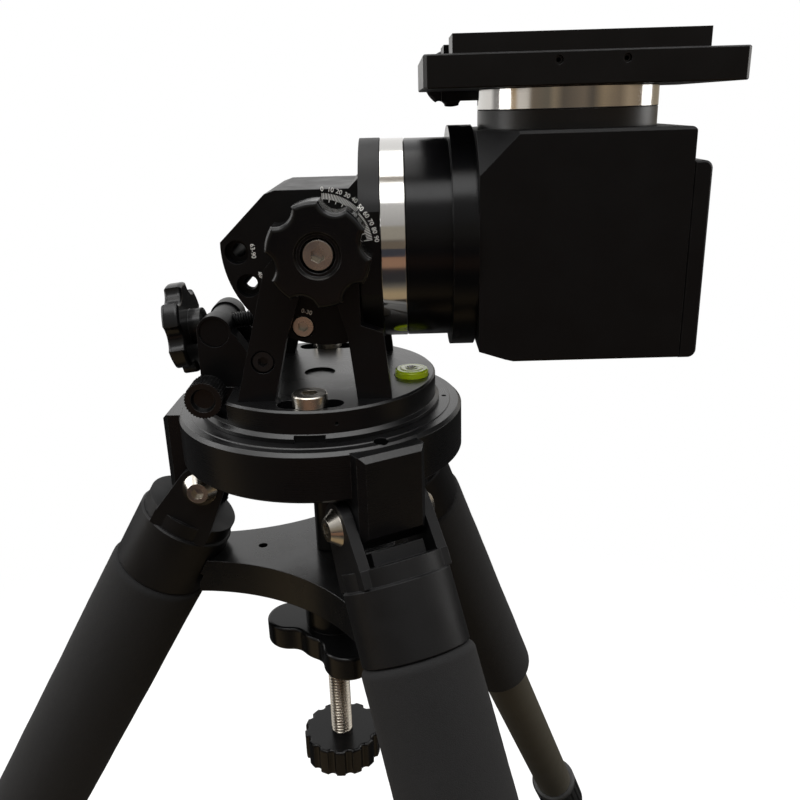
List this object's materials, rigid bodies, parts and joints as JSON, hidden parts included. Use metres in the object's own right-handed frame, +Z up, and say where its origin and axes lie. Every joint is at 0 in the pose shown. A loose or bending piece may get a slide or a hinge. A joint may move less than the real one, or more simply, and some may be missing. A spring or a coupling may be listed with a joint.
{
  "type": "equatorial mount",
  "caption": "Strain-wave equatorial mount with a wedge, a dovetail saddle and a folding three-legged tripod.",
  "frame": {"origin": "bottom centre of the bounding box, on the surface that the feet stand on", "axes": "+Z up; +X along the level right-ascension axis, from the latitude head to the declination housing; -Y is the side with the latitude scale"},
  "size_m": [0.6614, 0.7468, 0.8128],
  "materials": {
    "black_anodised": "satin black anodised",
    "knob_black": "semi-gloss black anodised",
    "bare_aluminium": "fine turned, bare",
    "stainless": "stainless steel",
    "dark_steel": "black oxide",
    "inner_steel": "machined",
    "foam": "closed-cell foam, matt",
    "leg_tube": "matt olive-grey anodised",
    "rubber": "moulded",
    "lock_plastic": "ribbed, matt",
    "level_green": "clear acid green"
  },
  "bodies": {
    "root": {"tripod_hub": "black_anodised", "leg_pivot_screws": "stainless", "azimuth_lock_bolts": "stainless", "azimuth_peg": "stainless"},
    "spreader": {"spreader_plate": "black_anodised"},
    "spreader_nut": {"spreader_nut": "knob_black"},
    "centre_rod": {"central_rod": "stainless", "rod_knob": "knob_black"},
    "azimuth": {"azimuth_base": "black_anodised", "level_vial": "level_green", "adjuster_block": "black_anodised", "wedge_plate_near": "black_anodised", "wedge_plate_far": "black_anodised", "wedge_tie_bar": "black_anodised", "wedge_tie_screws": "stainless", "pivot_shaft": "stainless"},
    "azimuth_screw_near": {"azimuth_screw_near": "knob_black"},
    "azimuth_screw_far": {"azimuth_screw_far": "knob_black"},
    "altitude": {"altitude_body": "black_anodised", "altitude_nut_screws": "stainless", "ra_ring": "bare_aluminium"},
    "altitude_nut": {"altitude_nut": "inner_steel"},
    "trunnion": {"altitude_trunnion": "inner_steel"},
    "altitude_adjuster": {"altitude_screw": "stainless", "altitude_knob": "knob_black"},
    "clamp_near": {"clamp_knob_near": "knob_black", "clamp_screw_near": "stainless"},
    "clamp_far": {"clamp_knob_far": "knob_black", "clamp_screw_far": "stainless"},
    "ra_head": {"ra_housing": "black_anodised", "ra_gear_motor": "inner_steel", "dec_housing": "black_anodised", "dec_side_cover": "black_anodised", "dec_collar": "black_anodised", "dec_gear_motor": "inner_steel", "housing_screws": "stainless"},
    "saddle": {"dec_ring": "bare_aluminium", "saddle_plate": "black_anodised", "saddle_screws": "dark_steel"},
    "saddle_jaw": {"saddle_jaw": "black_anodised"},
    "saddle_knob_a": {"saddle_knob_a": "knob_black"},
    "saddle_knob_b": {"saddle_knob_b": "knob_black"},
    "leg_left": {"leg_clevis_left": "black_anodised", "leg_grip_left": "foam", "leg_tube_left": "leg_tube"},
    "lock_left": {"leg_lock_left": "lock_plastic"},
    "lower_leg_left": {"leg_rod_left": "leg_tube", "leg_foot_left": "rubber"},
    "leg_near": {"leg_clevis_near": "black_anodised", "leg_grip_near": "foam", "leg_tube_near": "leg_tube"},
    "lock_near": {"leg_lock_near": "lock_plastic"},
    "lower_leg_near": {"leg_rod_near": "leg_tube", "leg_foot_near": "rubber"},
    "leg_far": {"leg_clevis_far": "black_anodised", "leg_grip_far": "foam", "leg_tube_far": "leg_tube"},
    "lock_far": {"leg_lock_far": "lock_plastic"},
    "lower_leg_far": {"leg_rod_far": "leg_tube", "leg_foot_far": "rubber"}
  },
  "joints": [
    {"name": "spreader_slide", "type": "slide", "parent": "root", "child": "spreader", "axis": [0, 0, -1], "range_m": [0, 0.02]},
    {"name": "spreader_nut_turn", "type": "hinge", "parent": "spreader", "child": "spreader_nut", "pos_m": [0.09792, 0.00575, 0.51331], "axis": [0, 0, 1], "continuous": true},
    {"name": "centre_rod_turn", "type": "hinge", "parent": "root", "child": "centre_rod", "pos_m": [0.09792, 0.00575, 0.54931], "axis": [0, 0, 1], "continuous": true},
    {"name": "leg_fold_left", "type": "hinge", "parent": "root", "child": "leg_left", "pos_m": [0.03744, 0.00744, 0.61031], "axis": [-0.0279, -0.9996, 0], "range_deg": [0, 6.01]},
    {"name": "leg_lock_turn_left", "type": "hinge", "parent": "leg_left", "child": "lock_left", "pos_m": [-0.27804, 0.01625, 0.07665], "axis": [-0.5088, 0.0142, -0.8607], "range_deg": [0, 90]},
    {"name": "leg_extend_left", "type": "slide", "parent": "leg_left", "child": "lower_leg_left", "axis": [-0.5088, 0.0142, -0.8607], "range_m": [0, 0.27]},
    {"name": "leg_fold_near", "type": "hinge", "parent": "root", "child": "leg_near", "pos_m": [0.12669, -0.04747, 0.61031], "axis": [0.8796, 0.4756, 0], "range_deg": [0, 6.01]},
    {"name": "leg_lock_turn_near", "type": "hinge", "parent": "leg_near", "child": "lock_near", "pos_m": [0.2768, -0.32509, 0.07665], "axis": [0.2421, -0.4478, -0.8607], "range_deg": [0, 90]},
    {"name": "leg_extend_near", "type": "slide", "parent": "leg_near", "child": "lower_leg_near", "axis": [0.2421, -0.4478, -0.8607], "range_m": [0, 0.27]},
    {"name": "leg_fold_far", "type": "hinge", "parent": "root", "child": "leg_far", "pos_m": [0.12962, 0.05728, 0.61031], "axis": [-0.8517, 0.524, 0], "range_deg": [0, 6.01]},
    {"name": "leg_lock_turn_far", "type": "hinge", "parent": "leg_far", "child": "lock_far", "pos_m": [0.29499, 0.32609, 0.07665], "axis": [0.2667, 0.4336, -0.8607], "range_deg": [0, 90]},
    {"name": "leg_extend_far", "type": "slide", "parent": "leg_far", "child": "lower_leg_far", "axis": [0.2667, 0.4336, -0.8607], "range_m": [0, 0.27]},
    {"name": "azimuth_turn", "type": "hinge", "parent": "root", "child": "azimuth", "pos_m": [0.09792, 0.00575, 0.64931], "axis": [0, 0, 1], "range_deg": [-9, 9]},
    {"name": "azimuth_screw_near_slide", "type": "slide", "parent": "azimuth", "child": "azimuth_screw_near", "axis": [0, 1, 0], "range_m": [-0.0078, 0.0078]},
    {"name": "azimuth_screw_far_slide", "type": "slide", "parent": "azimuth", "child": "azimuth_screw_far", "axis": [0, 1, 0], "range_m": [-0.0078, 0.0078]},
    {"name": "altitude_tilt", "type": "hinge", "parent": "azimuth", "child": "altitude", "pos_m": [0.10642, 0.00575, 0.73131], "axis": [0, -1, 0], "range_deg": [0, 30]},
    {"name": "trunnion_swing", "type": "hinge", "parent": "azimuth", "child": "trunnion", "pos_m": [0.05192, 0.00575, 0.69011], "axis": [0, -1, 0], "range_deg": [-3.2, 0.1]},
    {"name": "altitude_knob_turn", "type": "hinge", "parent": "trunnion", "child": "altitude_adjuster", "pos_m": [0.05192, 0.00575, 0.69011], "axis": [0.9929, 0, 0.1188], "range_deg": [0, 5577.2]},
    {"name": "altitude_nut_swing", "type": "hinge", "parent": "altitude", "child": "altitude_nut", "pos_m": [0.09527, 0.00575, 0.6953], "axis": [0, -1, 0], "range_deg": [-32.9, 0.1]},
    {"name": "clamp_near_turn", "type": "hinge", "parent": "azimuth", "child": "clamp_near", "pos_m": [0.10642, -0.04425, 0.73131], "axis": [0, -1, 0], "range_deg": [0, 120]},
    {"name": "clamp_far_turn", "type": "hinge", "parent": "azimuth", "child": "clamp_far", "pos_m": [0.10642, 0.05575, 0.73131], "axis": [0, 1, 0], "range_deg": [0, 120]},
    {"name": "ra_turn", "type": "hinge", "parent": "altitude", "child": "ra_head", "pos_m": [0.14217, 0.00575, 0.72821], "axis": [1, 0, 0], "range_deg": [-100, 100]},
    {"name": "dec_turn", "type": "hinge", "parent": "ra_head", "child": "saddle", "pos_m": [0.21532, 0.00575, 0.78401], "axis": [0, 0, 1], "continuous": true},
    {"name": "saddle_jaw_slide", "type": "slide", "parent": "saddle", "child": "saddle_jaw", "axis": [0, 1, 0], "range_m": [0, 0.005]},
    {"name": "saddle_knob_a_turn", "type": "hinge", "parent": "saddle_jaw", "child": "saddle_knob_a", "pos_m": [0.16692, 0.05775, 0.79926], "axis": [0, 1, 0], "continuous": true},
    {"name": "saddle_knob_b_turn", "type": "hinge", "parent": "saddle_jaw", "child": "saddle_knob_b", "pos_m": [0.25792, 0.05775, 0.79926], "axis": [0, 1, 0], "continuous": true}
  ],
  "couplings": [
    {"joint": "leg_fold_left", "follows": "spreader_slide", "rad_per_m": 5.236},
    {"joint": "leg_fold_near", "follows": "spreader_slide", "rad_per_m": 5.236},
    {"joint": "leg_fold_far", "follows": "spreader_slide", "rad_per_m": 5.236},
    {"joint": "azimuth_screw_near_slide", "follows": "azimuth_turn", "m_per_rad": 0.049},
    {"joint": "azimuth_screw_far_slide", "follows": "azimuth_turn", "m_per_rad": 0.049},
    {"joint": "trunnion_swing", "follows": "altitude_tilt", "ratio": -0.092791},
    {"joint": "altitude_knob_turn", "follows": "altitude_tilt", "ratio": 185.74},
    {"joint": "altitude_nut_swing", "follows": "altitude_tilt", "ratio": -1.0928}
  ]
}
